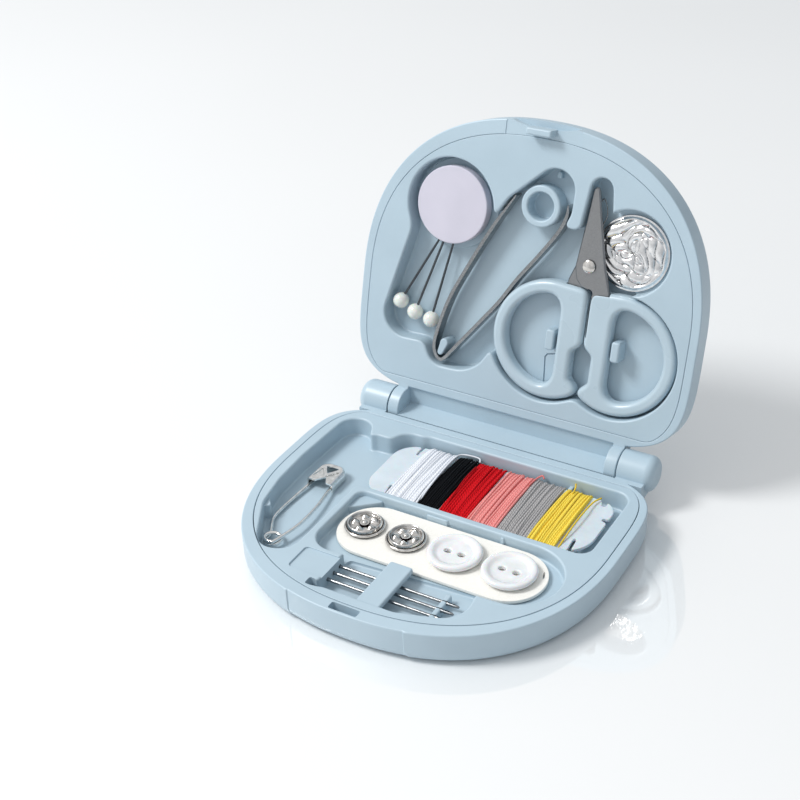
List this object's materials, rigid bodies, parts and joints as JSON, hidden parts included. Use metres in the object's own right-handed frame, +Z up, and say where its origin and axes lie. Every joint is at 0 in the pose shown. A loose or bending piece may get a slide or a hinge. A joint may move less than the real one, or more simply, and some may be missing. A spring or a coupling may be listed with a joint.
{
  "type": "pocket sewing kit",
  "caption": "Open clamshell pocket sewing kit: hinged D-shaped plastic case with moulded trays for scissors, tweezers, pins, threads, buttons and needles.",
  "frame": {"origin": "middle of the lower shell's flat underside", "axes": "+Z up, +X to the right along the hinge, +Y towards the hinge at the back; the lid is open on its stop"},
  "size_m": [0.088, 0.1028, 0.0805],
  "materials": {
    "case_blue": "fine satin moulding",
    "tray_blue": "fine satin moulding",
    "handle_blue": "smooth moulding",
    "steel": "polished",
    "blade_steel": "ground",
    "nickel": "nickel plated",
    "aluminium": "bright stamped",
    "card_plastic": "translucent sheet",
    "card_board": "smooth board",
    "button_resin": "translucent white",
    "pearl": "pearl lacquer",
    "pad_satin": "satin over foam",
    "thread_white": "spun thread",
    "thread_black": "spun thread",
    "thread_red": "spun thread",
    "thread_pink": "spun thread",
    "thread_grey": "spun thread",
    "thread_yellow": "spun thread"
  },
  "bodies": {
    "base": {"base_shell": "case_blue", "base_tray": "tray_blue", "hinge_pin_left": "steel", "hinge_pin_right": "steel", "needle_1": "nickel", "needle_2": "nickel", "needle_3": "nickel"},
    "lid": {"lid_shell": "case_blue", "lid_tray": "tray_blue"},
    "thread_card": {"thread_card": "card_plastic", "thread_white": "thread_white", "thread_black": "thread_black", "thread_red": "thread_red", "thread_pink": "thread_pink", "thread_grey": "thread_grey", "thread_yellow": "thread_yellow"},
    "button_card": {"button_card": "card_board", "press_stud_left_socket": "nickel", "press_stud_left_top": "nickel", "press_stud_right_socket": "nickel", "press_stud_right_top": "nickel", "button_left": "button_resin", "button_right": "button_resin"},
    "safety_pin": {"safety_pin_wire": "nickel", "safety_pin_cap": "nickel"},
    "pin_pad": {"pin_pad": "pad_satin", "pin_shaft_1": "steel", "pin_shaft_2": "steel", "pin_shaft_3": "steel", "pin_head_1": "pearl", "pin_head_2": "pearl", "pin_head_3": "pearl"},
    "tweezers": {"tweezers": "steel"},
    "scissor_lower": {"scissor_blade_lower": "blade_steel", "scissor_handle_left": "handle_blue", "scissor_rivet": "steel"},
    "scissor_upper": {"scissor_blade_upper": "blade_steel", "scissor_handle_right": "handle_blue"},
    "threader": {"threader_disc": "aluminium", "threader_wire": "steel"}
  },
  "joints": [
    {"name": "lid_hinge", "type": "hinge", "parent": "base", "child": "lid", "pos_m": [0, 0.04018, 0.00815], "axis": [-1, 0, 0], "range_deg": [-105.7, 0]},
    {"name": "thread_card_lift", "type": "slide", "parent": "base", "child": "thread_card", "axis": [0, 0, 1], "range_m": [0, 0.015]},
    {"name": "button_card_lift", "type": "slide", "parent": "base", "child": "button_card", "axis": [0, 0, 1], "range_m": [0, 0.012]},
    {"name": "safety_pin_lift", "type": "slide", "parent": "base", "child": "safety_pin", "axis": [0, 0, 1], "range_m": [0, 0.012]},
    {"name": "pin_pad_lift", "type": "slide", "parent": "lid", "child": "pin_pad", "axis": [0, -0.9627, 0.2706], "range_m": [0, 0.03]},
    {"name": "tweezers_lift", "type": "slide", "parent": "lid", "child": "tweezers", "axis": [0, -0.9627, 0.2706], "range_m": [0, 0.03]},
    {"name": "scissors_lift", "type": "slide", "parent": "lid", "child": "scissor_lower", "axis": [0, -0.9627, 0.2706], "range_m": [0, 0.14]},
    {"name": "scissors_open", "type": "hinge", "parent": "scissor_lower", "child": "scissor_upper", "pos_m": [0.0152, 0.054, 0.0509], "axis": [0, -0.9627, 0.2706], "range_deg": [0, 32.2]},
    {"name": "threader_lift", "type": "slide", "parent": "lid", "child": "threader", "axis": [0, -0.9627, 0.2706], "range_m": [0, 0.07]}
  ],
  "couplings": [
    {"joint": "scissors_open", "follows": "scissors_lift", "rad_per_m": 4},
    {"joint": "threader_lift", "follows": "scissors_lift", "ratio": 0.5}
  ]
}
